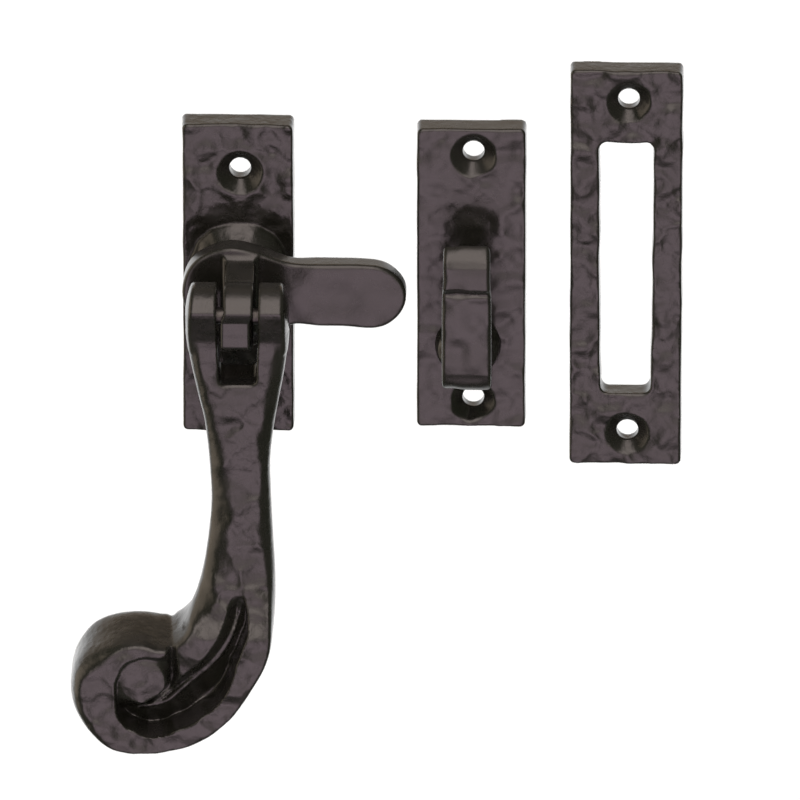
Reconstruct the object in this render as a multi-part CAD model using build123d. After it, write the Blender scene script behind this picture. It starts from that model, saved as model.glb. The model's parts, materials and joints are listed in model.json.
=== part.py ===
from build123d import *
import os

# Casement window fastener with a scrolled "monkey tail" handle, its hook plate and its
# mortice plate.  Millimetres.  Z is up, X runs from the handle towards the loose plates,
# and every plate has its flat back on the plane Y = 0 with its front towards -Y.
# The origin is the pivot axis where it meets that plane, midway between the backplate's
# two screw holes.  "Depth" below always means the distance in front of Y = 0.

# ---- driving dimensions -------------------------------------------------------------
PATTERN_OFFSET = 0.4        # the castings' centre lines sit this far left of their screws

BACKPLATE_SIZE = (21.4, 63.8, 5.5)      # width, height, thickness
BACKPLATE_LIFT = 0.6                    # it reaches this much further above the pivot than below
BACKPLATE_PITCH = 45.2                  # between the screw holes

HOOK_PLATE_SIZE = (21.0, 62.0, 5.0)
HOOK_PLATE_PITCH = 51.0
HOOK_PLATE_AT = (44.3, 0.9)             # middle of its two screw holes, X and Z

MORTICE_SIZE = (21.6, 81.8, 5.0)
MORTICE_PITCH = 68.6
MORTICE_AT = (73.7, 3.2)
MORTICE_SLOT = (10.6, 52.2)
SLOT_CORNER = 1.6

PLATE_CORNER = 1.2          # plan corners of the plates
PLATE_EDGE = 0.6            # rounding of the front edges
SCREW_HOLE_R = 2.05
COUNTERSINK_R = 4.25

BOSS_BASE_R = 9.7           # raised pivot boss on the backplate
BOSS_TOP_R = 8.4
BOSS_DEPTH = 7.9
STUD_R = 3.5
STUD_CLEARANCE = 0.05       # running fit of the stud in the backplate
RECESS_R = 7.0              # recess in the back for the washers and the stud's head
RECESS_DEPTH = 3.4
SPRING_WASHER_T = 0.6
RETAINER_T = 1.2
STACK_GAP = 0.05            # running gap between parts that turn against each other
STUD_HEAD_R = 5.0

NOSE_BACK = 8.0             # depth of the nose's back and front faces
NOSE_FRONT = 13.2
NOSE_DISC_R = 10.9
TONGUE_HALF = 6.6           # half the tongue's height
TONGUE_RISE = 0.4           # its middle is this far above the pivot axis
TONGUE_TIP = 31.9           # from the pivot axis
TONGUE_END_R = 5.6          # corner radii of its blunt end
SHOULDER_R = 7.0            # hollow between the disc and the tongue

PIN_DEPTH = 21.5            # the handle's hinge pin
PIN_R = 1.6
PIN_CLEARANCE = 0.05
LUG_WIDTH = 5.5
LUG_X = 0.3                 # the lug sits a little right of the fork's middle
LUG_R = 6.1

FORK_HALF = 9.8             # half the fork's width over its two arms
KNUCKLE_R = 6.6
FORK_SLOT_HALF = 4.0
FORK_SLOT_FLOOR = -13.8
SHANK_BACK = 17.8
SHANK_FRONT = 25.0

SCROLL_AT = (-19.3, -76.3)  # centre of the scroll's round lobe, X and Z
SCROLL_R = 12.7
SCROLL_BACK = 15.2
SCROLL_FRONT = 28.2
GROOVE_DEPTH = 3.0
EYE_AT = (-17.9, -73.9)
EYE_R = 4.6
EYE_RING = 1.6              # width and depth of the channel round the eye
EYE_RING_DEPTH = 1.2

HOOK_WIDTH = 9.6
HOOK_X = 43.3
HOOK_LIP_BACK = 13.7
HOOK_FRONT = 17.3
HOOK_HEAD_TOP = 12.1
HOOK_BOTTOM = -18.6
THROAT_FLOOR = -7.6
COLLAR_R = 6.3
COLLAR_Z = -12.9
COLLAR_DEPTH = 8.4
TENON_R = 3.2
RIVET_R = 4.6
REAR_RELIEF = 0.3           # riveted ends stay this far inside the back faces


# ---- helpers ------------------------------------------------------------------------
def front_plane(depth):
    """Sketch plane facing the viewer: x is X, y is Z, and extruding goes forwards."""
    return Plane.XZ.offset(depth)


def slab(sketch, start, end):
    """Extrude an X-Z sketch from one depth to another."""
    return extrude(front_plane(start) * sketch, amount=end - start)


def disc(radius, start, end, at=(0, 0)):
    """A round plate or pin along Y."""
    return slab(Pos(*at) * Circle(radius), start, end)


def cone_along_y(start_r, end_r, start, end, at=(0, 0)):
    """A cone along Y whose radius changes from start_r to end_r."""
    sections = [front_plane(start) * Pos(*at) * Circle(start_r),
                front_plane(end) * Pos(*at) * Circle(end_r)]
    return loft(sections)


def screw_hole(at, thickness):
    """Cutter for one countersunk screw hole."""
    sink = COUNTERSINK_R - SCREW_HOLE_R
    clear = 1.0
    shank = disc(SCREW_HOLE_R, -clear, thickness + clear, at)
    head = cone_along_y(SCREW_HOLE_R, COUNTERSINK_R, thickness - sink, thickness, at)
    return shank + head + disc(COUNTERSINK_R, thickness, thickness + clear, at)


def plate_blank(size, at):
    """A flat plate with softened corners and front edges, left of its screw line."""
    width, height, thickness = size
    outline = Pos(at[0] - PATTERN_OFFSET, at[1]) * RectangleRounded(width, height, PLATE_CORNER)
    plate = slab(outline, 0, thickness)
    front = plate.faces().sort_by(Axis.Y)[0]
    return fillet(front.edges(), PLATE_EDGE)


def screwed_plate(size, pitch, at, lift=0.0):
    """A plate with its two countersunk holes on a vertical line; lift raises its outline only."""
    plate = plate_blank(size, (at[0], at[1] + lift))
    for side in (-1, 1):
        plate -= screw_hole((at[0], at[1] + side * pitch / 2), size[2])
    return plate


def depth_profile(points):
    """Plane for side profiles: x is depth, y is Z, and extruding goes towards +X."""
    return Plane(origin=(0, 0, 0), x_dir=(0, -1, 0), z_dir=(-1, 0, 0)) * points


def across(sketch, start, end):
    """Extrude a depth-Z sketch from X = start to X = end."""
    return Pos(end, 0, 0) * extrude(depth_profile(sketch), amount=end - start)


# ---- window-side fastener -----------------------------------------------------------
def make_backplate():
    size = BACKPLATE_SIZE
    plate = screwed_plate(size, BACKPLATE_PITCH, (0, 0), BACKPLATE_LIFT)
    plate += cone_along_y(BOSS_BASE_R, BOSS_TOP_R, size[2], BOSS_DEPTH)
    plate -= disc(STUD_R + STUD_CLEARANCE, -1, BOSS_DEPTH + 1)
    plate -= disc(RECESS_R, -1, RECESS_DEPTH)
    return plate


def washer(outer_r, inner_r, start, end):
    return disc(outer_r, start, end) - disc(inner_r, start, end)


SPRING_START = RECESS_DEPTH - SPRING_WASHER_T
RETAINER_END = SPRING_START - STACK_GAP
RETAINER_START = RETAINER_END - RETAINER_T


def make_spring_washer():
    return washer(RECESS_R - 0.3, STUD_R + 0.3, SPRING_START, RECESS_DEPTH)


def make_retaining_washer():
    return washer(RECESS_R - 0.5, STUD_R, RETAINER_START, RETAINER_END)


def make_pivot_stud():
    """Pressed into the nose and spread over the retaining washer at the back."""
    stud = disc(STUD_R, RETAINER_START, NOSE_BACK + 3.2)
    return stud + cone_along_y(STUD_HEAD_R - 0.8, STUD_HEAD_R, REAR_RELIEF, RETAINER_START)


def shoulder(side):
    """Web between the disc and one edge of the tongue, with a hollow touching both."""
    edge = TONGUE_HALF + side * TONGUE_RISE
    centre_z = edge + SHOULDER_R
    centre_x = ((NOSE_DISC_R + SHOULDER_R) ** 2 - centre_z ** 2) ** 0.5
    share = NOSE_DISC_R / (NOSE_DISC_R + SHOULDER_R)
    web = make_face(Polyline((0, 0), (0, side * centre_z * share),
                             (centre_x * share, side * centre_z * share),
                             (centre_x, side * edge), (centre_x, 0), close=True))
    return web - Pos(centre_x, side * centre_z) * Circle(SHOULDER_R)


def tongue_outline():
    """Disc and tongue seen from the front, with hollow shoulders between them."""
    tongue = Pos(TONGUE_TIP / 2, TONGUE_RISE) * Rectangle(TONGUE_TIP, 2 * TONGUE_HALF)
    tip_corners = tongue.vertices().sort_by(Axis.X)[-2:]
    tongue = fillet(tip_corners, TONGUE_END_R)
    return Circle(NOSE_DISC_R) + shoulder(1) + shoulder(-1) + tongue


def make_nose():
    """The casting that turns on the backplate: disc, tongue and the lug for the handle."""
    body = slab(tongue_outline(), NOSE_BACK, NOSE_FRONT)
    rims = body.faces().filter_by(Axis.Y).edges()
    body = fillet(rims, 0.5)
    root_top = 7.5
    root_bottom = -7.0
    heel = PIN_DEPTH + 4.0
    lug = make_face(Polyline((NOSE_FRONT - 0.6, root_top), (PIN_DEPTH - 3.2, LUG_R - 1.4),
                             (PIN_DEPTH, 0), (heel, -1.6), (heel, -5.8),
                             (NOSE_FRONT - 0.6, root_bottom), close=True))
    lug += Pos(PIN_DEPTH, 0) * Circle(LUG_R)
    lug -= Pos(PIN_DEPTH, 0) * Circle(PIN_R)
    body += across(lug, LUG_X - LUG_WIDTH / 2, LUG_X + LUG_WIDTH / 2)
    return body - disc(STUD_R, NOSE_BACK - 1, NOSE_BACK + 3.2)


def make_hinge_pin():
    end = FORK_HALF - 0.2
    return across(Pos(PIN_DEPTH, 0) * Circle(PIN_R), -end, end)


def handle_front_outline():
    """Fork, waisted shank and the round lobe of the scroll, seen from the front."""
    cx, cz = SCROLL_AT
    top = KNUCKLE_R + 0.5
    fork_end = -5.0         # below this the fork's sides start to close in
    lobe_start = 65
    lobe = CenterArc((cx, cz), SCROLL_R, lobe_start, 270 - lobe_start)
    left = Spline((-FORK_HALF, fork_end), (-8.3, -13.0), (-5.4, -29.0), (-5.2, -42.0),
                  (-7.6, -56.8), (-10.6, -62.2), lobe @ 0,
                  tangents=[(0, -1), (-1, -0.35)])
    right = Spline(lobe @ 1, (-7.0, -85.6), (1.2, -77.2), (6.0, -67.0), (7.1, -54.0),
                   (6.4, -36.0), (8.0, -16.5), (FORK_HALF, fork_end),
                   tangents=[(1, 0), (0, 1)])
    cap = Polyline((FORK_HALF, fork_end), (FORK_HALF, top), (-FORK_HALF, top),
                   (-FORK_HALF, fork_end))
    return make_face([lobe, left, right, cap])


def handle_side_outline():
    """The same piece seen from the side: knuckle, thin shank and thick scroll."""
    knee = KNUCKLE_R * 0.9
    low = -90.0
    back_top = (PIN_DEPTH - knee, 0)
    front_top = (PIN_DEPTH + knee, 0)
    back = Spline(back_top, (SHANK_BACK, -16.0), (SHANK_BACK, -50.0), (SCROLL_BACK, -66.0),
                  (SCROLL_BACK, low), tangents=[(0, -1), (0, -1)])
    front = Spline(front_top, (SHANK_FRONT + 0.3, -12.0), (SHANK_FRONT - 0.2, -47.0),
                   (SCROLL_FRONT, -68.0), (SCROLL_FRONT, low), tangents=[(0, -1), (0, -1)])
    face = make_face([back, Line((SCROLL_BACK, low), (SCROLL_FRONT, low)), front,
                      Line(front_top, back_top)])
    return face + Pos(PIN_DEPTH, 0) * Circle(KNUCKLE_R)


def scroll_relief():
    """Outline of the tapering hollow under the scroll's eye, and of the ring round the eye."""
    inner = Spline((0.9, -61.6), (-4.4, -73.3), (-13.4, -80.9), (-22.7, -79.7),
                   tangents=[(-0.3, -1), (-1, 0.4)])
    outer = Spline(inner @ 1, (-16.5, -85.0), (-7.3, -82.7), (-1.5, -73.8), inner @ 0,
                   tangents=[(0.7, -1), (0.3, 1)])
    eye_ring = Pos(*EYE_AT) * (Circle(EYE_R + EYE_RING) - Circle(EYE_R))
    return make_face([inner, outer]), eye_ring


def make_handle():
    lowest = SCROLL_AT[1] - SCROLL_R - 1
    body = slab(handle_front_outline(), 0, SCROLL_FRONT + 5)
    body &= across(handle_side_outline(), SCROLL_AT[0] - SCROLL_R - 2, FORK_HALF + 2)
    slot_height = KNUCKLE_R + 4 - FORK_SLOT_FLOOR
    slot = Pos(0, FORK_SLOT_FLOOR + slot_height / 2) * Rectangle(2 * FORK_SLOT_HALF, slot_height)
    slot = fillet(slot.vertices().sort_by(Axis.Y)[:2], 1.4)
    body -= slab(slot, 0, SCROLL_FRONT + 5)
    reach = FORK_HALF + 1
    body -= across(Pos(PIN_DEPTH, 0) * Circle(PIN_R + PIN_CLEARANCE), -reach, reach)
    groove, eye_ring = scroll_relief()
    # both faces carry the relief, because either one faces the room once the handle is flipped
    for face, inward in ((SCROLL_FRONT, -1), (SCROLL_BACK, 1)):
        outside = face - inward
        body -= slab(groove, *sorted((face + inward * GROOVE_DEPTH, outside)))
        body -= slab(eye_ring, *sorted((face + inward * EYE_RING_DEPTH, outside)))
    return body


# ---- frame-side plates --------------------------------------------------------------
def make_hook_plate():
    thickness = HOOK_PLATE_SIZE[2]
    plate = screwed_plate(HOOK_PLATE_SIZE, HOOK_PLATE_PITCH, HOOK_PLATE_AT)
    at = (HOOK_X, COLLAR_Z)
    plate -= disc(TENON_R, -1, thickness + 1, at)
    return plate - cone_along_y(RIVET_R, TENON_R, 0, RIVET_R - TENON_R, at)


def make_hook():
    """Upstanding hook: a thick root, an undercut head, and a tenon through the plate."""
    corner = 0.7            # softens the throat's inner corner
    side = make_face(Polyline(
        (COLLAR_DEPTH - 0.4, THROAT_FLOOR), (HOOK_LIP_BACK - corner, THROAT_FLOOR),
        (HOOK_LIP_BACK, THROAT_FLOOR + corner), (HOOK_LIP_BACK, HOOK_HEAD_TOP - 0.8),
        (HOOK_LIP_BACK + 1.0, HOOK_HEAD_TOP), (HOOK_FRONT - 1.6, HOOK_HEAD_TOP - 1.2),
        (HOOK_FRONT, HOOK_HEAD_TOP - 4.2), (HOOK_FRONT, 2.6), (HOOK_FRONT - 0.8, 1.0),
        (HOOK_FRONT - 0.8, -13.8), (HOOK_FRONT - 2.6, HOOK_BOTTOM + 1.2),
        (HOOK_FRONT - 5.6, HOOK_BOTTOM), (COLLAR_DEPTH - 0.4, HOOK_BOTTOM + 0.4), close=True))
    at = (HOOK_X, COLLAR_Z)
    thickness = HOOK_PLATE_SIZE[2]
    hook = across(side, HOOK_X - HOOK_WIDTH / 2, HOOK_X + HOOK_WIDTH / 2)
    hook += disc(COLLAR_R, thickness, COLLAR_DEPTH, at)
    tenon = disc(TENON_R, REAR_RELIEF, thickness, at)
    spread = RIVET_R - TENON_R
    tenon += cone_along_y(RIVET_R - REAR_RELIEF, TENON_R, REAR_RELIEF, spread, at)
    return hook + tenon


def make_mortice_plate():
    plate = screwed_plate(MORTICE_SIZE, MORTICE_PITCH, MORTICE_AT)
    middle = Pos(MORTICE_AT[0] - PATTERN_OFFSET, MORTICE_AT[1])
    opening = middle * RectangleRounded(*MORTICE_SLOT, SLOT_CORNER)
    return plate - slab(opening, -1, MORTICE_SIZE[2] + 1)


# ---- write one file per piece -------------------------------------------------------
PIECES = {
    "backplate": make_backplate,
    "spring_washer": make_spring_washer,
    "retaining_washer": make_retaining_washer,
    "pivot_stud": make_pivot_stud,
    "nose": make_nose,
    "hinge_pin": make_hinge_pin,
    "handle": make_handle,
    "hook_plate": make_hook_plate,
    "hook": make_hook,
    "mortice_plate": make_mortice_plate,
}

os.makedirs("parts", exist_ok=True)
for name, make in PIECES.items():
    piece = make()
    piece.label = name
    export_step(piece, f"parts/{name}.step")
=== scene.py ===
"""Looks of a casement window fastener set: castings sculpted as distance fields over the frame's solids.

Fields work in millimetres on three arrays: x and z as in the frame, and depth, the distance in front of
the plates' backs (depth = -y).  A field is negative inside the metal.
"""

import itertools
import json
import math

import bpy
import numpy as np
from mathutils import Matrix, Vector


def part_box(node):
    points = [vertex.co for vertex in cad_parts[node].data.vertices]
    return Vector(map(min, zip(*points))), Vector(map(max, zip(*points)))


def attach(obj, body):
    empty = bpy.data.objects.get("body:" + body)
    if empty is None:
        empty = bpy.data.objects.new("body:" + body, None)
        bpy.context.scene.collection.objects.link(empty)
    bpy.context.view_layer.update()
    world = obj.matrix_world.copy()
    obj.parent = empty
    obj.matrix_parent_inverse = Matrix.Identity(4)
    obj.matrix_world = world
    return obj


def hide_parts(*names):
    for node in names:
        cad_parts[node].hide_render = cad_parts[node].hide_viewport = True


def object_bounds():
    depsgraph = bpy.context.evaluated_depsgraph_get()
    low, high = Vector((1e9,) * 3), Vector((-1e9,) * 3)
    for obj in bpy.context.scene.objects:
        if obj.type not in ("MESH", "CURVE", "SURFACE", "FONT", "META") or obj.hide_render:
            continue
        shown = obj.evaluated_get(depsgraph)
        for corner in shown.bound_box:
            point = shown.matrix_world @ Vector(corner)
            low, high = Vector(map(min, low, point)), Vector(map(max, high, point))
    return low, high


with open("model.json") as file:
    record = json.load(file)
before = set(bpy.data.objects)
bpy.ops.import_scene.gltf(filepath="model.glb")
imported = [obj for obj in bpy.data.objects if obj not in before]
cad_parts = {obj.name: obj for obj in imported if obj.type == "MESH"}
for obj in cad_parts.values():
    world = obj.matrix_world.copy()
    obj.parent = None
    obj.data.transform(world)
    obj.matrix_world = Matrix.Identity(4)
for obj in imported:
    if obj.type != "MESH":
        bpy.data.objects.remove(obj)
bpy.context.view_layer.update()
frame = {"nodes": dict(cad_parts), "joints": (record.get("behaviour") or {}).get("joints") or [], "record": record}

MM = 0.001
VOXEL = 0.32      # grid step of the sculpted pieces, mm
CONE_SLANT = 0.707                       # distance to a 45 degree cone for each mm of radius
TINY = 0.1                               # keeps a division by a radius finite at the centre

# ---- sizes the frame doesn't state by itself, mm ----------------------------------------
SCREW_R = 2.05
COUNTERSINK_R = 4.45
BACKPLATE_T = 5.5
LOOSE_PLATE_T = 5.0
BOSS_R = 8.8
BOSS_FRONT = 7.8
STUD_R, STUD_BORE_R = 3.5, 3.55
NOSE_BACK, NOSE_FRONT = 8.0, 13.2
LUG_X, LUG_HALF = 0.3, 2.75
KNUCKLE_R, CREASE_Z = 5.7, 2.7
FORK_HALF = 9.8
SLOT_HALF, SLOT_FLOOR = 4.0, -13.8
PIN_BORE_R = 1.65
TENON_R, RIVET_R = 3.2, 4.6              # the hook's tenon, and the end of it spread over the plate's back
COLLAR_R, COLLAR_Z, COLLAR_FRONT = 6.3, -12.9, 8.4
HOOK_HALF = 4.7
HOOK_THROAT = -7.6
HOOK_LIP_BACK = 13.7


# ---- what the frame gives ---------------------------------------------------------------
def cad_box(node):
    """Lowest and highest x, depth, z of a CAD node, in mm."""
    corners = np.array(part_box(node)) / MM
    corners[:, 1] *= -1
    return corners.min(0), corners.max(0)


def screw_holes(mount_name):
    """The x, z of a plate's screw holes, in mm."""
    mount = next(m for m in frame["record"]["mounts"] if m["name"] == mount_name)
    x, _, z = np.array(mount["pos_m"]) / MM
    half = mount["dims"]["spacing_y_mm"] / 2
    return [(x, z - half), (x, z + half)]


def joint_depth(name):
    """Depth of a joint's axis, in mm."""
    joint = next(j for j in frame["joints"] if j["name"] == name)
    return -joint["pos_m"][1] / MM


PIN_DEPTH = joint_depth("handle_flip")


# ---- field tools ------------------------------------------------------------------------
def blend_max(a, b, radius):
    """The larger of two fields, rounded over where they meet: a softened cut."""
    h = np.maximum(radius - np.abs(a - b), 0) / radius
    return np.maximum(a, b) + h * h * radius / 4


def blend_min(a, b, radius):
    """The smaller of two fields, filleted where they meet: a cast joint."""
    return -blend_max(-a, -b, radius)


def ramp(value, start, end):
    """Smooth step from 0 at start to 1 at end."""
    t = np.clip((value - start) / (end - start), 0, 1)
    return t * t * (3 - 2 * t)


def rounded_rectangle(x, z, half_x, half_z, corner):
    """Field of a rectangle with rounded corners, centred on zero."""
    dx = np.abs(x) - half_x + corner
    dz = np.abs(z) - half_z + corner
    outside = np.hypot(np.maximum(dx, 0), np.maximum(dz, 0))
    return outside + np.minimum(np.maximum(dx, dz), 0) - corner


def headed_shank(r, below_head, shank_r, head_r):
    """Field of a round shank under a 45 degree head; below_head is measured from the head's flat face."""
    return np.minimum(r - shank_r, (r - head_r + below_head) * CONE_SLANT)


def smooth_curve(points, closed=False, steps=4):
    """Points along a Catmull-Rom curve through the given ones."""
    p = np.array(points, float)
    if closed:
        p = np.vstack([p[-1], p, p[:2]])
    else:
        p = np.vstack([2 * p[0] - p[1], p, 2 * p[-1] - p[-2]])
    t = np.linspace(0, 1, steps, endpoint=False)[:, None]
    out = []
    for a, b, c, d in zip(p, p[1:], p[2:], p[3:]):
        out.append(0.5 * (2 * b + (c - a) * t + (2 * a - 5 * b + 4 * c - d) * t ** 2
                          + (3 * b - a - 3 * c + d) * t ** 3))
    if not closed:
        out.append(p[-2][None])
    return np.vstack(out)


def path_distance(u, v, path, closed=False):
    """Distance to a path, and two facts about the path's nearest point.

    They are how far along the path it lies, from 0 to 1, and on which side of the path u, v is: 1 for
    left, -1 for right.
    """
    u, v = np.broadcast_arrays(u, v)
    shape = u.shape
    u, v = u.ravel(), v.ravel()
    ends = np.roll(path, -1, 0) if closed else path[1:]
    starts = path if closed else path[:-1]
    best = np.full(u.shape, np.inf)
    along = np.zeros(u.shape)
    side = np.zeros(u.shape)
    for i, (a, b) in enumerate(zip(starts, ends)):
        e = b - a
        t = np.clip(((u - a[0]) * e[0] + (v - a[1]) * e[1]) / (e @ e), 0, 1)
        squared = (u - a[0] - t * e[0]) ** 2 + (v - a[1] - t * e[1]) ** 2
        nearer = squared < best
        best = np.where(nearer, squared, best)
        along = np.where(nearer, (i + t) / len(starts), along)
        side = np.where(nearer, np.sign(e[0] * (v - a[1]) - e[1] * (u - a[0])), side)
    return np.sqrt(best).reshape(shape), along.reshape(shape), side.reshape(shape)


def outline_distance(u, v, path):
    """Signed distance to a closed outline, negative inside."""
    dist = path_distance(u, v, path, closed=True)[0]
    inside = np.zeros(dist.shape, bool)
    for a, b in zip(path, np.roll(path, -1, 0)):
        crosses = (a[1] > v) != (b[1] > v)
        if a[1] != b[1]:
            at = a[0] + (v - a[1]) * (b[0] - a[0]) / (b[1] - a[1])
            inside ^= crosses & (u < at)
    return np.where(inside, -dist, dist)


# ---- uneven surfaces --------------------------------------------------------------------
def value_noise(u, v, seed):
    """Smooth noise from -1 to 1 with features one unit across, the same on every run."""
    repeat = 64
    lattice = np.random.default_rng(seed).random((repeat, repeat)) * 2 - 1
    cu, cv = np.floor(u), np.floor(v)
    fu, fv = u - cu, v - cv
    fu, fv = fu * fu * (3 - 2 * fu), fv * fv * (3 - 2 * fv)
    i, j = cu.astype(int) % repeat, cv.astype(int) % repeat
    i1, j1 = (i + 1) % repeat, (j + 1) % repeat
    low = lattice[i, j] * (1 - fu) + lattice[i1, j] * fu
    high = lattice[i, j1] * (1 - fu) + lattice[i1, j1] * fu
    return low * (1 - fv) + high * fv


def lumps(x, z, height, size, seed):
    """Smooth noise of a given height, with features of a given size in mm."""
    return height * value_noise(x / size, z / size, seed)


def dents(u, v, seed):
    """Overlapping round dents, one in each cell of a jittered grid.

    The height is 0 at a dent's centre and about 1 on the ridges where dents meet.
    """
    repeat = 32
    rng = np.random.default_rng(seed)
    jitter_u, jitter_v = rng.random((2, repeat, repeat))
    steepness = 0.7 + 0.6 * rng.random((repeat, repeat))
    cu, cv = np.floor(u), np.floor(v)
    best = np.full(np.broadcast(u, v).shape, 9.0)
    for du, dv in itertools.product((-1, 0, 1), repeat=2):
        i, j = (cu + du).astype(int) % repeat, (cv + dv).astype(int) % repeat
        across_u = u - cu - du - jitter_u[i, j]
        across_v = v - cv - dv - jitter_v[i, j]
        best = np.minimum(best, (across_u ** 2 + across_v ** 2) * steepness[i, j] * 1.6)
    return best


def hammered(x, z, seed, grain):
    """Height of a hammered casting, about -1.2 to 0.4: dents, grain mm apart, over uneven swells."""
    warp, warp_size = 1.1, 2.6
    average_dent, settle_back = 0.9, 0.4
    u = (x + warp * value_noise(x / warp_size, z / warp_size, seed + 1)) / grain
    v = (z + warp * value_noise(x / warp_size + 20, z / warp_size, seed + 2)) / grain
    patch = 0.35 + 0.65 * ramp(value_noise(x / 8.0, z / 8.0, seed + 3), -0.35, 0.45)
    broad = lumps(x, z, height=0.25, size=6.5, seed=seed + 5)
    middle = 0.42 * value_noise(x / 3.1, z / 2.7, seed + 6)
    fine = 0.13 * value_noise(x / 1.6, z / 1.5, seed + 4)
    return 0.45 * patch * (dents(u, v, seed) - average_dent) + broad + middle + fine - settle_back


# ---- from field to mesh -----------------------------------------------------------------
def grid_edges(values, axis):
    """A field at the start and the end of every grid edge along an axis, and if the edge crosses zero."""
    start = np.take(values, range(values.shape[axis] - 1), axis)
    end = np.take(values, range(1, values.shape[axis]), axis)
    return start, end, (start < 0) != (end < 0)


def net_points(values):
    """One point, in grid steps, in each cell the surface crosses, and the number of each cell's point."""
    cells = tuple(n - 1 for n in values.shape)
    total = np.zeros(cells + (3,))
    count = np.zeros(cells)
    for axis in range(3):
        start, end, crossed = grid_edges(values, axis)
        share = np.where(crossed, start / np.where(crossed, start - end, 1), 0)
        others = [a for a in range(3) if a != axis]
        for shift in itertools.product((0, 1), repeat=2):
            window = [slice(None)] * 3
            for a, s in zip(others, shift):
                window[a] = slice(s, s + cells[a])
            window = tuple(window)
            here = crossed[window]
            count += here
            total[..., axis] += share[window]
            for a, s in zip(others, shift):
                total[..., a] += here * s
    active = count > 0
    number = np.full(cells, -1)
    number[active] = np.arange(active.sum())
    return np.argwhere(active) + total[active] / count[active][:, None], number


def net_faces(values, number):
    """Four-sided faces, each joining the points of the four cells round a grid edge that crosses zero."""
    faces = []
    for axis in range(3):
        start, _, crossed = grid_edges(values, axis)
        at = np.argwhere(crossed)
        leaving = start[tuple(at.T)] < 0
        unit = np.eye(3, dtype=int)
        step_b, step_c = unit[(axis + 1) % 3], unit[(axis + 2) % 3]
        ring = [number[tuple((at - back).T)] for back in (0 * step_b, step_b, step_b + step_c, step_c)]
        quads = np.stack(ring, 1)
        quads[~leaving] = quads[~leaving][:, ::-1]
        faces.append(quads)
    return np.vstack(faces)


def surface_net(field, low, high):
    """Points and faces of the surface where a field is zero, one point per crossed cell of a grid."""
    axes = [np.arange(lo - 1.5 * VOXEL, hi + 2.5 * VOXEL, VOXEL) for lo, hi in zip(low, high)]
    values = field(*np.meshgrid(*axes, indexing="ij", sparse=True))
    steps, number = net_points(values)
    origin = np.array([a[0] for a in axes])
    return origin + VOXEL * steps, net_faces(values, number)


def settle(field, points, rounds=2):
    """Pull points onto the surface along the field's slope."""
    probe = VOXEL * 0.25
    longest = VOXEL * 0.5
    flattest, no_move = 0.05, 1e-9
    for _ in range(rounds):
        value = field(*points.T)
        slope = np.stack([
            (field(*(points + probe * step).T) - field(*(points - probe * step).T)) / (2 * probe)
            for step in np.eye(3)], 1)
        squared = np.maximum((slope ** 2).sum(1), flattest)
        move = slope * (value / squared)[:, None]
        length = np.linalg.norm(move, axis=1, keepdims=True)
        points = points - move * np.minimum(1, longest / np.maximum(length, no_move))
    return points


def sculpt(name, field, node, body, material):
    """Mesh a field over a CAD node's box, give it its material, and let it stand for the node."""
    points, faces = surface_net(field, *cad_box(node))
    points = settle(field, points)
    points = points * (1, -1, 1) * MM
    faces = faces[:, ::-1]
    mesh = bpy.data.meshes.new(name)
    mesh.from_pydata(points, [], faces)
    mesh.shade_smooth()
    piece = bpy.data.objects.new(name, mesh)
    bpy.context.scene.collection.objects.link(piece)
    mesh.materials.append(material)
    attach(piece, body)
    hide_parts(node)


# ---- plates -----------------------------------------------------------------------------
def plate_field(node, thickness, holes, relief, grain, seed):
    """A drafted plate with a worked front, wavy edges and countersunk holes."""
    low, high = cad_box(node)
    middle_x, middle_z = (low[0] + high[0]) / 2, (low[2] + high[2]) / 2
    half_x, half_z = (high[0] - low[0]) / 2, (high[2] - low[2]) / 2
    draft, waviness, corner = 0.03, 0.08, 1.0
    pivot_dip, pivot_near, pivot_far = 0.8, 11.0, 17.0
    raggedness = 0.15

    def field(x, depth, z):
        wave = lumps(x, z, height=waviness, size=4, seed=seed + 11) + waviness
        side = rounded_rectangle(x - middle_x, z - middle_z, half_x - draft * depth - wave,
                                 half_z - draft * depth - wave, corner)
        near_pivot = ramp(np.hypot(x, z), pivot_far, pivot_near)
        worked = relief * (1 - 0.7 * near_pivot) * hammered(x, z, seed, grain)
        front = depth - thickness - worked + pivot_dip * near_pivot
        solid = blend_max(blend_max(side, front, radius=0.4), -depth, radius=0.2)
        for hole_x, hole_z in holes:
            r = np.hypot(x - hole_x, z - hole_z)
            turn = np.arctan2(z - hole_z, x - hole_x)
            ragged = raggedness * value_noise(1.5 * np.cos(turn) + hole_z, 1.5 * np.sin(turn) + 9, seed + 12)
            hole = headed_shank(r, thickness - depth, SCREW_R, COUNTERSINK_R + ragged)
            solid = blend_max(solid, -hole, radius=0.3)
        return solid
    return field


def boss_field(x, depth, z):
    """The raised boss round the pivot: a cone, wider on its upper side, cut off at the plate's sides."""
    middle_x, half_x = -0.4, 10.4
    rho = np.hypot(x, z)
    flare = 0.45 + 0.45 * ramp(z / np.maximum(rho, TINY), 0.5, 0.9)
    spread = flare * (BOSS_FRONT - np.maximum(depth, BACKPLATE_T - 0.5))
    wall = (rho - BOSS_R - spread + lumps(x, z, height=0.35, size=2.6, seed=15)) * 0.8
    boss = blend_max(wall, depth - BOSS_FRONT, radius=0.6)
    return np.maximum(np.maximum(boss, -depth), np.abs(x - middle_x) - half_x)


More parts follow.
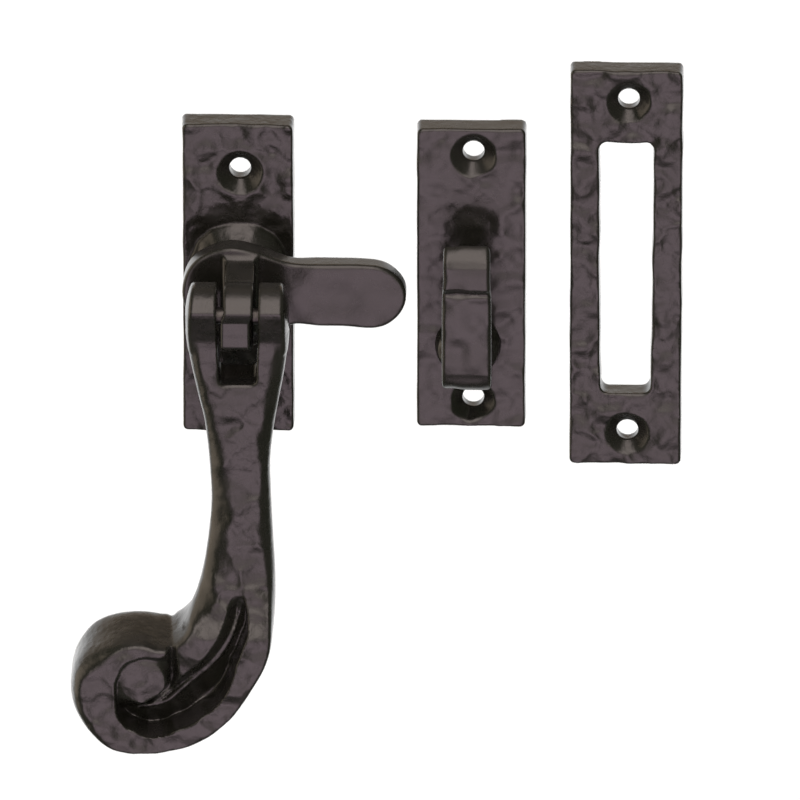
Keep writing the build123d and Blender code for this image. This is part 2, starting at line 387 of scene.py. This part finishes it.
def make_backplate(material):
    """Hammered plate with the pivot's boss and bore, and the washers' recess in its back."""
    plate = plate_field("backplate", BACKPLATE_T, screw_holes("backplate_screws"),
                        relief=0.58, grain=4.0, seed=3)
    recess_r, recess_depth = 7.0, 3.4

    def field(x, depth, z):
        rho = np.hypot(x, z)
        solid = blend_min(plate(x, depth, z), boss_field(x, depth, z), radius=0.5)
        recess = np.maximum(rho - recess_r, depth - recess_depth)
        return blend_max(blend_max(solid, -recess, radius=0.3), STUD_BORE_R - rho, radius=0.2)

    sculpt("backplate_casting", field, "backplate", "fastener_plate", material)


def hook_root_x():
    """The x of the hook's collar and tenon, in mm."""
    low, _ = cad_box("hook")
    return low[0] + COLLAR_R


def make_hook_plate(material):
    """Smoother plate with the hole that the hook's tenon is riveted in."""
    plate = plate_field("hook_plate", LOOSE_PLATE_T, screw_holes("hook_plate_screws"),
                        relief=0.42, grain=5.6, seed=31)
    root_x = hook_root_x()

    def field(x, depth, z):
        r = np.hypot(x - root_x, z - COLLAR_Z)
        return np.maximum(plate(x, depth, z), -headed_shank(r, depth, TENON_R, RIVET_R))

    sculpt("hook_plate_casting", field, "hook_plate", "hook_plate", material)


def make_mortice_plate(material):
    """Hammered plate with a long slot, a little narrower at its foot and towards its back."""
    holes = screw_holes("mortice_plate_screws")
    plate = plate_field("mortice_plate", LOOSE_PLATE_T, holes, relief=0.60, grain=4.0, seed=57)
    low, high = cad_box("mortice_plate")
    slot_x, slot_z = (low[0] + high[0]) / 2, (holes[0][1] + holes[1][1]) / 2
    half_x, half_z, corner = 5.25, 26.0, 1.7
    foot_narrowing, draft = 0.35, 0.04

    def field(x, depth, z):
        wave = 0.12 * value_noise(x / 3, z / 5, 71)
        narrow = foot_narrowing * ramp(z, slot_z + half_z, slot_z - half_z) + draft * (LOOSE_PLATE_T - depth)
        slot = rounded_rectangle(x - slot_x, z - slot_z, half_x - narrow + wave, half_z + wave, corner)
        return blend_max(plate(x, depth, z), -slot, radius=0.35)

    sculpt("mortice_plate_casting", field, "mortice_plate", "mortice_plate", material)


# ---- hook -------------------------------------------------------------------------------
def hook_side():
    """Outline of the hook from the side, as depth and z: lip, rounded head, notch, thick root."""
    return np.vstack([
        [(7.6, HOOK_THROAT), (12.9, HOOK_THROAT), (HOOK_LIP_BACK, HOOK_THROAT + 0.8),
         (HOOK_LIP_BACK, 10.5)],
        smooth_curve([(HOOK_LIP_BACK + 0.15, 11.4), (14.4, 11.95), (15.6, 11.3), (16.7, 10.0),
                      (17.25, 8.2)]),
        [(17.28, 3.7), (16.75, 3.1)],
        smooth_curve([(16.45, 2.6), (16.75, 1.9), (16.7, 0.6)]),
        [(16.5, -11.8)],
        smooth_curve([(16.4, -14.2), (15.7, -16.6), (14.1, -18.2), (11.8, -18.6)]),
        [(7.6, -18.5)]])


def make_hook(material):
    """Strap bent into a hook, on a tapered collar whose tenon goes through the plate."""
    side = hook_side()
    root_x = hook_root_x()
    collar_draft, tenon_relief, tenon_overlap = 0.25, 0.3, 0.5

    def field(x, depth, z):
        uneven = 0.22 * value_noise(x / 3.0 + depth / 4, z / 3.0, 83)
        narrow = 0.25 * ramp(z, 0.0, 6.0)
        flanks = np.abs(x - root_x) - HOOK_HALF + narrow
        strap = blend_max(flanks, outline_distance(depth, z, side) + uneven + 0.18, radius=0.9)
        r = np.hypot(x - root_x, z - COLLAR_Z)
        taper = r - COLLAR_R + collar_draft * (depth - LOOSE_PLATE_T)
        collar = blend_max(taper, depth - COLLAR_FRONT, radius=1.2)
        collar = np.maximum(collar, LOOSE_PLATE_T - depth)
        solid = blend_min(strap, collar, radius=0.8)
        tenon = np.maximum(headed_shank(r, depth, TENON_R, RIVET_R), tenon_relief - depth)
        tenon = np.maximum(tenon, depth - LOOSE_PLATE_T - tenon_overlap)
        return np.minimum(solid, tenon)

    sculpt("hook_forging", field, "hook", "hook_plate", material)


# ---- nose -------------------------------------------------------------------------------
NOSE_OUTLINE = smooth_curve(
    [(-10.8, 0.0), (-10.5, 3.4), (-9.3, 6.2), (-7.4, 8.2), (-4.6, 9.7), (-1.2, 10.2), (3.1, 9.4),
     (8.9, 7.5), (13.0, 6.95), (23.0, 7.0), (27.6, 6.4), (30.5, 4.4), (31.85, 1.3), (31.4, -2.2),
     (29.4, -5.0), (26.0, -6.2), (18.0, -6.0), (12.6, -5.8), (9.4, -6.4), (6.4, -8.6), (2.2, -10.5),
     (-2.4, -10.5), (-6.6, -8.5), (-9.6, -4.8)], closed=True)


def lug_side():
    """Side outline of the lug as depth and z: shelf, then below the knuckle's crease a flat heel."""
    return np.array([(NOSE_FRONT - 1.5, 8.4), (PIN_DEPTH - 2.3, 6.3), (PIN_DEPTH, 3.0),
                     (PIN_DEPTH + 5.2, 3.2), (PIN_DEPTH + 5.65, 2.6), (PIN_DEPTH + 5.1, 0.9),
                     (PIN_DEPTH + 4.9, -4.6), (PIN_DEPTH + 3.6, -5.7), (NOSE_FRONT - 1.5, -7.0)])


def knuckle_circle(depth, z):
    """The rolled-over top that the lug and both fork arms share."""
    return np.hypot(depth - PIN_DEPTH - 0.1, z - 0.8) - KNUCKLE_R


def crease_cut(depth, z, forward, downward):
    """A sloping cut that takes the front back below the knuckle's crease."""
    return (depth - PIN_DEPTH - KNUCKLE_R) * forward - (z - CREASE_Z) * downward


def lug_field(x, depth, z, side):
    """The lug between the fork's arms: knuckle, crease across its front, heel set a little to the left."""
    profile = blend_min(outline_distance(depth, z, side), knuckle_circle(depth, z), radius=0.4)
    crease = crease_cut(depth, z, forward=0.94, downward=0.34)
    profile = blend_max(profile, np.minimum(crease, depth - PIN_DEPTH - 4.9), radius=0.4)
    heel_shift = 0.6 * ramp(z, 2.6, 0.6) * ramp(depth, PIN_DEPTH + 1.5, PIN_DEPTH + 5)
    width = np.maximum(x - LUG_X - LUG_HALF + heel_shift, LUG_X - LUG_HALF - x - heel_shift)
    return blend_max(width, profile, radius=0.4)


def make_nose(material):
    """Round disc with a blunt tongue, and the lug that stands in front of it."""
    side = lug_side()
    middle = (NOSE_BACK + NOSE_FRONT) / 2
    half_t = (NOSE_FRONT - NOSE_BACK) / 2 - 0.05
    stud_hole_depth = 3.2

    def field(x, depth, z):
        uneven = lumps(x, z, height=0.30, size=5.0, seed=91) - 0.30
        outline = outline_distance(x, z, NOSE_OUTLINE) - 0.6 * uneven
        plate = blend_max(outline, np.abs(depth - middle) - half_t - uneven, radius=0.7)
        solid = blend_min(plate, lug_field(x, depth, z, side), radius=1.2)
        bore = np.maximum(np.hypot(x, z) - STUD_R, depth - NOSE_BACK - stud_hole_depth)
        return np.maximum(solid, -bore)

    sculpt("nose_casting", field, "nose", "nose", material)


# ---- handle: outlines -------------------------------------------------------------------
LOBE, LOBE_R = np.array((-19.3, -76.3)), 12.7
BALL, BALL_R = (-18.0, -73.6), 5.0

RIDGE = smooth_curve([(0.9, -58.0), (-0.7, -63.5), (-2.8, -67.7), (-5.8, -71.5), (-9.5, -75.1),
                      (-12.0, -77.7), (-14.5, -79.4), (-19.0, -80.2)])
RIM_EDGE = smooth_curve([(1.2, -56.6), (2.3, -61.1), (1.6, -65.2), (0.1, -69.8), (-2.8, -77.0),
                         (-7.7, -81.9), (-11.9, -83.9), (-16.3, -85.1), (-20.2, -84.2),
                         (-22.9, -80.9), (-23.6, -76.4), (-23.4, -72.9), (-21.7, -70.0),
                         (-17.8, -68.4), (-14.6, -68.5), (-13.1, -66.5), (-12.8, -60.0)])
CREASE = smooth_curve([(-12.8, -63.7), (-12.5, -68.2), (-12.3, -72.9), (-13.7, -76.4),
                       (-17.1, -78.7)])


def handle_outline():
    """Front outline: fork, waisted shank, and the round lobe of the curled tail with its V notch."""
    turns = np.radians(np.linspace(70, 268, 34))
    lobe = LOBE + LOBE_R * np.stack([np.cos(turns), np.sin(turns)], 1)
    left = [(-8.2, 7.2), (-9.2, 4.8), (-FORK_HALF, 1.8), (-FORK_HALF, -1.6), (-9.5, -5.0),
            (-8.9, -9.0), (-8.1, -13.0), (-7.2, -17.2), (-6.4, -20.8), (-5.7, -26.0), (-5.3, -31.0),
            (-5.0, -37.0), (-5.3, -42.5), (-6.2, -49.6), (-7.2, -54.5), (-8.4, -58.3),
            (-9.9, -61.1), (-11.5, -63.2), (-13.2, -64.5)]
    right = [(-15.5, -88.8), (-12.0, -88.1), (-8.6, -87.0), (-4.8, -84.7), (-0.5, -80.6),
             (3.4, -74.3), (5.6, -69.8), (6.8, -64.5), (7.1, -57.5), (7.0, -51.0), (6.6, -43.5),
             (6.25, -35.0), (6.2, -29.0), (6.9, -22.5), (7.9, -16.5), (8.8, -11.5), (9.5, -6.0),
             (FORK_HALF, -1.6), (FORK_HALF, 1.8), (9.2, 4.8), (8.4, 7.2)]
    return np.vstack([smooth_curve(left), lobe, smooth_curve(right)])


def arm_side():
    """Side outline of a fork arm below its knuckle: a slope running down to the shank's face."""
    return np.array([(PIN_DEPTH - 4.6, 3.0), (PIN_DEPTH + 5.2, 3.2), (PIN_DEPTH + 5.65, 2.6),
                     (PIN_DEPTH + 3.55, -4.0), (PIN_DEPTH + 3.3, -7.0), (PIN_DEPTH - 3.4, -7.0),
                     (PIN_DEPTH - 5.2, 0.0)])


def half_thickness(z):
    """Half the handle's thickness down its length: fork, thin shank, thick tail."""
    stations = [(-90, 7.0), (-72, 7.0), (-66, 6.6), (-60, 5.3), (-55, 4.2), (-48, 3.6), (-36, 3.3),
                (-20, 3.45), (-12, 3.5), (-4, 3.5), (8, 3.5)]
    smooth = smooth_curve(stations, steps=6)
    return np.interp(z, smooth[:, 0], smooth[:, 1])


# ---- handle: the tail's face ------------------------------------------------------------
def limb_height(level, to_ridge, along_ridge, ridge_side):
    """Height of the tail's inner limb, which steps down to a ledge and ends at the ridge."""
    low_end = 1.2 * ramp(along_ridge, 0.35, 0.75)
    ledge = level - 2.2 - low_end
    under_ball = ledge - 2.0 * ramp(along_ridge, 0.30, 0.50) * np.maximum(to_ridge - 0.5, 0)
    top = level - 0.2 - 2 * low_end - 1.1 * np.maximum(2.4 - to_ridge, 0)
    past_ridge = ledge - 3.0 * np.maximum(to_ridge - 0.3, 0)
    return np.where(ridge_side > 0, past_ridge, np.maximum(top, under_ball))


def rim_height(x, z, level):
    """Height of the outer rim and its inner wall, steep round the hollow and gentle near the lobe's top."""
    to_edge, along_edge, edge_side = path_distance(x, z, RIM_EDGE)
    to_edge = to_edge + lumps(x, z, height=0.5, size=2.8, seed=41)
    steep = 5.0 - 4.2 * ramp(along_edge, 0.60, 0.72)
    return level - steep * np.where(edge_side > 0, 0, np.maximum(to_edge, 0))


def ball_height(x, z, level):
    """Height of the ball in the curl's eye, which falls away fastest towards the ridge."""
    ball_x, ball_z = x - BALL[0], z - BALL[1]
    ball_r = np.hypot(ball_x, ball_z)
    facing = (0.75 * ball_x - 0.66 * ball_z) / np.maximum(ball_r, TINY)
    drop = 0.25 + 1.6 * ramp(facing, -0.2, 0.7)
    return level - 0.1 - 0.012 * ball_r ** 2 - drop * np.maximum(ball_r - BALL_R + 0.7, 0)


def tail_relief(x, z, level):
    """Height of the tail's face: outer rim, inner limb, deep hollow, ball, notch down the crease."""
    to_ridge, along_ridge, ridge_side = path_distance(x, z, RIDGE)
    to_crease, along_crease, crease_side = path_distance(x, z, CREASE)
    limb = limb_height(level, to_ridge, along_ridge, ridge_side)
    limb = limb - 2.2 * np.where(crease_side > 0, 0, to_crease)
    hollow = np.maximum(3.4 - 0.55 * to_ridge, 0.9)
    height = blend_max(np.maximum(limb, hollow), rim_height(x, z, level), radius=0.4)
    height = blend_max(height, ball_height(x, z, level), radius=0.4)
    notch = (0.6 + 2.2 * along_crease) * np.maximum(1 - to_crease, 0)
    return height - notch * ramp(along_crease, -0.05, 0.02)


def face_height(x, z, deepest):
    """Half the thickness with the tail's relief and the hammering, kept inside the casting's own depth."""
    level = half_thickness(z)
    tail = ramp(z, -55.5, -60.0)
    height = level + tail * (tail_relief(x, z, level) - level)
    shank = ramp(z, -5.0, -12.0)
    worked = (0.12 + 0.40 * shank) * hammered(x, z, seed=7, grain=4.2)
    return np.minimum(height + worked, deepest)


# ---- handle: the casting ----------------------------------------------------------------
def flank_reach(x, z):
    """How far the rounding of the left and right flanks reaches in from the outline."""
    left = 2.3 + 2.0 * ramp(z, -16.0, -30.0)
    right = 3.0 - 0.6 * ramp(z, -18.0, -32.0) - 1.0 * ramp(z, -44.0, -58.0)
    middle = 0.5 - 9 * ramp(z, -50.0, -70.0)
    reach = right + (left - right) * (0.5 - 0.5 * np.tanh(x - middle))
    return reach + lumps(x, z, height=0.35, size=3, seed=23)


def shank_and_tail(depth, z, edge, reach, height, power):
    """Body between the front and back faces, its edges rounded as a superellipse; it stops at the fork."""
    across = np.maximum(1 - edge / reach, 0)
    from_middle = np.abs(depth - PIN_DEPTH)
    body = (across ** power + (from_middle / height) ** power) ** (1 / power) - 1
    return np.maximum(body * np.minimum(height, 2.5), z + 3.0)


def fork_knuckle(depth, z, edge, reach, arms):
    """Both fork arms in one block: rolled-over top, crease, and sides rounded off to the front and back."""
    crease = crease_cut(depth, z, forward=0.951, downward=0.309)
    knuckle = blend_min(outline_distance(depth, z, arms), knuckle_circle(depth, z), radius=0.4)
    knuckle = blend_max(knuckle, crease, radius=0.5)
    bulge = np.interp(z, [-7.0, -4.0, 0.0, 3.0], [4.1, 5.2, 6.6, 7.6])
    flat = np.sqrt(np.maximum(1 - (np.abs(depth - PIN_DEPTH) / bulge) ** 2, 0))
    sides = reach * (1 - flat) - edge
    return blend_max(knuckle, sides, radius=0.6)


def fork_slot(x, depth, z):
    """The slot between the arms, narrower at its floor, which is highest at the back."""
    middle_x, half_length, corner = 0.1, 15, 1.3
    narrow = 0.45 * ramp(z, 2.0, -12.0)
    floor = SLOT_FLOOR + 0.8 + 0.6 * np.maximum(PIN_DEPTH - depth, 0)
    floor = floor - 0.5 * np.maximum(depth - 23.8, 0) ** 2
    return rounded_rectangle(x - middle_x, z - floor - half_length, SLOT_HALF - narrow, half_length, corner)


def make_handle(material):
    """Forked casting with a waisted shank and a curled tail, whose relief is on its front and its back."""
    _, high = cad_box("handle")
    deepest = high[1] - PIN_DEPTH - 0.05
    outline = handle_outline()
    arms = arm_side()
    side_draft, draft_start = 0.19, 15.0

    def field(x, depth, z):
        tail = ramp(z, -58.0, -67.0)
        from_lobe = np.maximum(np.hypot(x - LOBE[0], z - LOBE[1]), TINY)
        upward = ramp((z - LOBE[1]) / from_lobe, 0.3, 0.9)
        leftward = ramp((LOBE[0] - x) / from_lobe, 0.3, 0.9) * (depth > PIN_DEPTH)
        edge = -outline_distance(x, z, outline)
        edge = edge - side_draft * tail * upward * np.maximum(depth - draft_start, 0)
        reach = flank_reach(x, z) * (1 - tail) + (0.8 + 2.0 * leftward) * tail
        power = 2 + 3 * tail * (1 - 0.8 * leftward)
        body = shank_and_tail(depth, z, edge, reach, face_height(x, z, deepest), power)
        solid = blend_min(body, fork_knuckle(depth, z, edge, reach, arms), radius=0.5)
        bore = np.hypot(depth - PIN_DEPTH, z) - PIN_BORE_R
        return np.maximum(blend_max(solid, -fork_slot(x, depth, z), radius=0.4), -bore)

    sculpt("handle_casting", field, "handle", "handle", material)


# ---- shader nodes -----------------------------------------------------------------------
def node_tree(material):
    """A material's node tree and its shader."""
    material.use_nodes = True
    tree = material.node_tree
    return tree, tree.nodes["Principled BSDF"]


def noise_node(tree, coords, scale, detail, roughness=0.5):
    noise = tree.nodes.new("ShaderNodeTexNoise")
    noise.inputs["Scale"].default_value = scale
    noise.inputs["Detail"].default_value = detail
    noise.inputs["Roughness"].default_value = roughness
    tree.links.new(coords, noise.inputs["Vector"])
    return noise.outputs["Fac"]


def ramp_node(tree, value, stops):
    """Colour ramp with (position, colour) stops."""
    node = tree.nodes.new("ShaderNodeValToRGB")
    elements = node.color_ramp.elements
    while len(elements) < len(stops):
        elements.new(0.5)
    for element, (position, colour) in zip(elements, stops):
        element.position = position
        element.color = (*colour, 1)
    tree.links.new(value, node.inputs["Fac"])
    return node.outputs["Color"]


def bump_node(tree, height, distance, strength, normal=None):
    node = tree.nodes.new("ShaderNodeBump")
    node.inputs["Distance"].default_value = distance
    node.inputs["Strength"].default_value = strength
    tree.links.new(height, node.inputs["Height"])
    if normal is not None:
        tree.links.new(normal, node.inputs["Normal"])
    return node.outputs["Normal"]


def range_node(tree, value, start, end, low=0.0, high=1.0):
    """Straight ramp of a socket from low at start to high at end."""
    node = tree.nodes.new("ShaderNodeMapRange")
    node.inputs["From Min"].default_value = start
    node.inputs["From Max"].default_value = end
    node.inputs["To Min"].default_value = low
    node.inputs["To Max"].default_value = high
    tree.links.new(value, node.inputs["Value"])
    return node.outputs["Result"]


def step_node(tree, value, start, end):
    """Smooth step of a socket from 0 at start to 1 at end."""
    result = range_node(tree, value, start, end)
    result.node.interpolation_type = "SMOOTHSTEP"
    return result


def math_node(tree, operation, *values):
    """A Math node whose inputs are sockets or numbers."""
    node = tree.nodes.new("ShaderNodeMath")
    node.operation = operation
    for socket, value in zip(node.inputs, values):
        if isinstance(value, bpy.types.NodeSocket):
            tree.links.new(value, socket)
        else:
            socket.default_value = value
    return node.outputs[0]


def mix_node(tree, factor, first, second):
    """From a colour socket to a fixed colour as the factor goes from 0 to 1."""
    node = tree.nodes.new("ShaderNodeMix")
    node.data_type = "RGBA"
    tree.links.new(factor, node.inputs["Factor"])
    tree.links.new(first, node.inputs["A"])
    node.inputs["B"].default_value = (*second, 1)
    return node.outputs["Result"]


# ---- materials --------------------------------------------------------------------------
NOISE_LOW, NOISE_HIGH = 0.3, 0.7         # the span that most of a noise's values fall in


def black_iron(name, lump_strength):
    """Satin black coating over rough iron: soft lumps, orange peel and slightly patchy gloss."""
    greenish_black, brownish_black = (0.0090, 0.0088, 0.0066), (0.0150, 0.0140, 0.0120)
    glossiest, dullest = 0.22, 0.32
    material = bpy.data.materials.new(name)
    tree, shader = node_tree(material)
    coords = tree.nodes.new("ShaderNodeTexCoord").outputs["Object"]
    iron_lumps = noise_node(tree, coords, scale=330, detail=3, roughness=0.55)
    peel = noise_node(tree, coords, scale=1500, detail=2)
    patches = noise_node(tree, coords, scale=140, detail=4, roughness=0.6)
    colour = ramp_node(tree, patches, [(0.35, greenish_black), (0.68, brownish_black)])
    tree.links.new(colour, shader.inputs["Base Color"])
    gloss = range_node(tree, patches, NOISE_LOW, NOISE_HIGH, glossiest, dullest)
    tree.links.new(gloss, shader.inputs["Roughness"])
    normal = bump_node(tree, iron_lumps, distance=0.0006, strength=lump_strength)
    normal = bump_node(tree, peel, distance=0.0001, strength=0.12, normal=normal)
    tree.links.new(normal, shader.inputs["Normal"])
    shader.inputs["IOR"].default_value = 1.55
    shader.inputs["Coat Weight"].default_value = 0.15
    shader.inputs["Coat Roughness"].default_value = 0.18
    return material


def dark_steel():
    """Oiled dark steel of the pin, stud and washers."""
    dark, light = (0.045, 0.043, 0.040), (0.11, 0.105, 0.10)
    glossiest, dullest = 0.25, 0.45
    material = bpy.data.materials.new("dark_steel")
    tree, shader = node_tree(material)
    coords = tree.nodes.new("ShaderNodeTexCoord").outputs["Object"]
    scratches = noise_node(tree, coords, scale=900, detail=5, roughness=0.7)
    stains = noise_node(tree, coords, scale=260, detail=3)
    colour = ramp_node(tree, stains, [(NOISE_LOW, dark), (NOISE_HIGH, light)])
    tree.links.new(colour, shader.inputs["Base Color"])
    gloss = range_node(tree, scratches, NOISE_LOW, NOISE_HIGH, glossiest, dullest)
    tree.links.new(gloss, shader.inputs["Roughness"])
    normal = bump_node(tree, scratches, distance=0.00005, strength=0.3)
    tree.links.new(normal, shader.inputs["Normal"])
    shader.inputs["Metallic"].default_value = 0.9
    return material


def pale_floor():
    """Matt, faintly mottled pale paint."""
    darker, lighter = (0.90, 0.93, 0.955), (0.92, 0.95, 0.975)
    material = bpy.data.materials.new("pale_floor")
    tree, shader = node_tree(material)
    coords = tree.nodes.new("ShaderNodeTexCoord").outputs["Object"]
    mottle = noise_node(tree, coords, scale=30, detail=3)
    colour = ramp_node(tree, mottle, [(NOISE_LOW, darker), (NOISE_HIGH, lighter)])
    tree.links.new(colour, shader.inputs["Base Color"])
    shader.inputs["Roughness"].default_value = 0.8
    return material


def finish_cad_nodes(material, names):
    """Give a material to the pieces whose CAD shape is also their look."""
    for name in names:
        piece = frame["nodes"][name]
        piece.data.materials.clear()
        piece.data.materials.append(material)


# ---- stage, in metres -------------------------------------------------------------------
WHITE = (1.0, 1.0, 1.0)
LILAC = (1.0, 0.78, 0.88)
WARM = (1.0, 0.86, 0.81)
TAN = (1.0, 0.77, 0.57)
DIM_SIDES = (0.09, 0.10, 0.07)
LEFT_GLOW = (1.25, 1.04, 0.82)

# Light round the set by the angle above the horizon in front of it, in degrees: angle, strength, tint.
# Below the front lies a lilac panel, above it a wide warm one, and behind are tan and white walls.
STUDIO = [(-180, 1.5, WHITE), (-104, 1.2, WHITE), (-84, 0.10, WHITE), (-58, 0.05, WHITE),
          (-44, 0.60, LILAC), (-30, 2.10, LILAC), (-20, 2.10, LILAC), (-8, 1.0, LILAC),
          (2, 1.6, WARM), (12, 2.8, WARM), (72, 2.8, WARM), (92, 0.30, WARM), (134, 0.25, TAN),
          (150, 0.66, TAN), (166, 1.0, WHITE), (180, 1.4, WHITE)]


def add_camera():
    """Above and a touch right of the set, with a long lens far away."""
    elevation, azimuth = math.radians(24.0), math.radians(1.5)
    distance = 4.0
    target = Vector((0.0304, -0.0055, -0.0242))
    data = bpy.data.cameras.new("camera")
    data.sensor_width = 36
    data.lens = 945
    data.clip_end = 20
    camera = bpy.data.objects.new("camera", data)
    back = Vector((math.sin(azimuth) * math.cos(elevation),
                   -math.cos(azimuth) * math.cos(elevation), math.sin(elevation)))
    camera.location = target + distance * back
    camera.rotation_mode = "QUATERNION"
    camera.rotation_quaternion = (-back).to_track_quat("-Z", "Y")
    bpy.context.scene.collection.objects.link(camera)
    bpy.context.scene.camera = camera


def add_world():
    """A soft studio: the panels and walls of STUDIO, dim at both sides, with a glow at the far left."""
    world = bpy.data.worlds.new("studio")
    bpy.context.scene.world = world
    world.use_nodes = True
    tree = world.node_tree
    coords = tree.nodes.new("ShaderNodeTexCoord").outputs["Generated"]
    split = tree.nodes.new("ShaderNodeSeparateXYZ")
    tree.links.new(coords, split.inputs[0])
    x, y, z = split.outputs
    front = math_node(tree, "MULTIPLY", y, -1.0)
    angle = math_node(tree, "ARCTAN2", z, front)
    turn = math_node(tree, "MULTIPLY_ADD", angle, 1 / math.tau, 0.5)
    panels = ramp_node(tree, turn, [((degrees + 180) / 360, [strength * channel for channel in tint])
                                    for degrees, strength, tint in STUDIO])
    ahead = step_node(tree, front, -0.75, -0.4)
    sideways = step_node(tree, math_node(tree, "ABSOLUTE", x), 0.06, 0.50)
    leftward = step_node(tree, math_node(tree, "MULTIPLY", x, -1.0), 0.68, 0.92)
    light = mix_node(tree, math_node(tree, "MULTIPLY", sideways, ahead), panels, DIM_SIDES)
    light = mix_node(tree, math_node(tree, "MULTIPLY", leftward, ahead), light, LEFT_GLOW)
    tree.links.new(light, tree.nodes["Background"].inputs["Color"])


def add_floor_light():
    """Wide soft light from straight above for the floor; it stays out of the metal's reflections."""
    data = bpy.data.lights.new("floor_light", "AREA")
    data.shape = "SQUARE"
    data.size = 3.0
    data.energy = 37
    data.color = (0.92, 0.97, 1.0)
    light = bpy.data.objects.new("floor_light", data)
    light.location = (0, 0.5, 1.6)
    light.visible_camera = False
    light.visible_glossy = False
    bpy.context.scene.collection.objects.link(light)


def add_floor():
    """A level floor some way below the set, which floats above it."""
    low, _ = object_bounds()
    drop, half = 0.12, 3.0
    mesh = bpy.data.meshes.new("floor")
    z = low.z - drop
    corners = [(-half, -half, z), (half, -half, z), (half, half, z), (-half, half, z)]
    mesh.from_pydata(corners, [], [(0, 1, 2, 3)])
    mesh.materials.append(pale_floor())
    floor = bpy.data.objects.new("floor", mesh)
    floor.visible_glossy = False
    bpy.context.scene.collection.objects.link(floor)


add_camera()
add_world()
add_floor_light()
add_floor()
hammered_iron = black_iron("hammered_black_iron", lump_strength=0.35)
smooth_iron = black_iron("smooth_black_iron", lump_strength=0.15)
make_backplate(hammered_iron)
make_hook_plate(smooth_iron)
make_mortice_plate(hammered_iron)
make_hook(smooth_iron)
make_nose(smooth_iron)
make_handle(hammered_iron)
finish_cad_nodes(dark_steel(), ["pivot_stud", "spring_washer", "retaining_washer", "hinge_pin"])
bpy.context.scene.view_settings.view_transform = "Standard"
